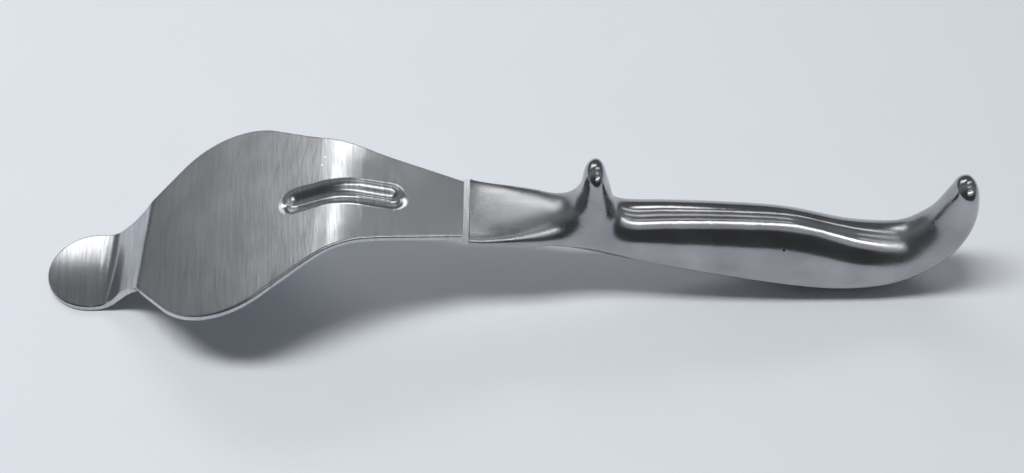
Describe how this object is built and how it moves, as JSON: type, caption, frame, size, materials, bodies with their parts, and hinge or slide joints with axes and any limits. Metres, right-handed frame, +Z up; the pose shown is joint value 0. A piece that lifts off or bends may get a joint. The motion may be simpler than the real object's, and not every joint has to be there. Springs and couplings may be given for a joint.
{
  "type": "surgical retractor",
  "caption": "Handheld retractor: a broad bent blade with a rounded tongue and a pressed bead, on a thick curved handle with a finger spur and a hooked end.",
  "frame": {"origin": "on the table under the middle of the instrument's length and width, as it lies at rest", "axes": "+X along the instrument from the blade's tongue to the handle's hooked end, +Y across it, +Z up from the table"},
  "size_m": [0.258, 0.065, 0.0456],
  "materials": {
    "satin_steel": "satin, brushed across the blade",
    "polished_steel": "polished"
  },
  "bodies": {
    "root": {"blade": "satin_steel", "handle": "polished_steel"}
  },
  "joints": []
}
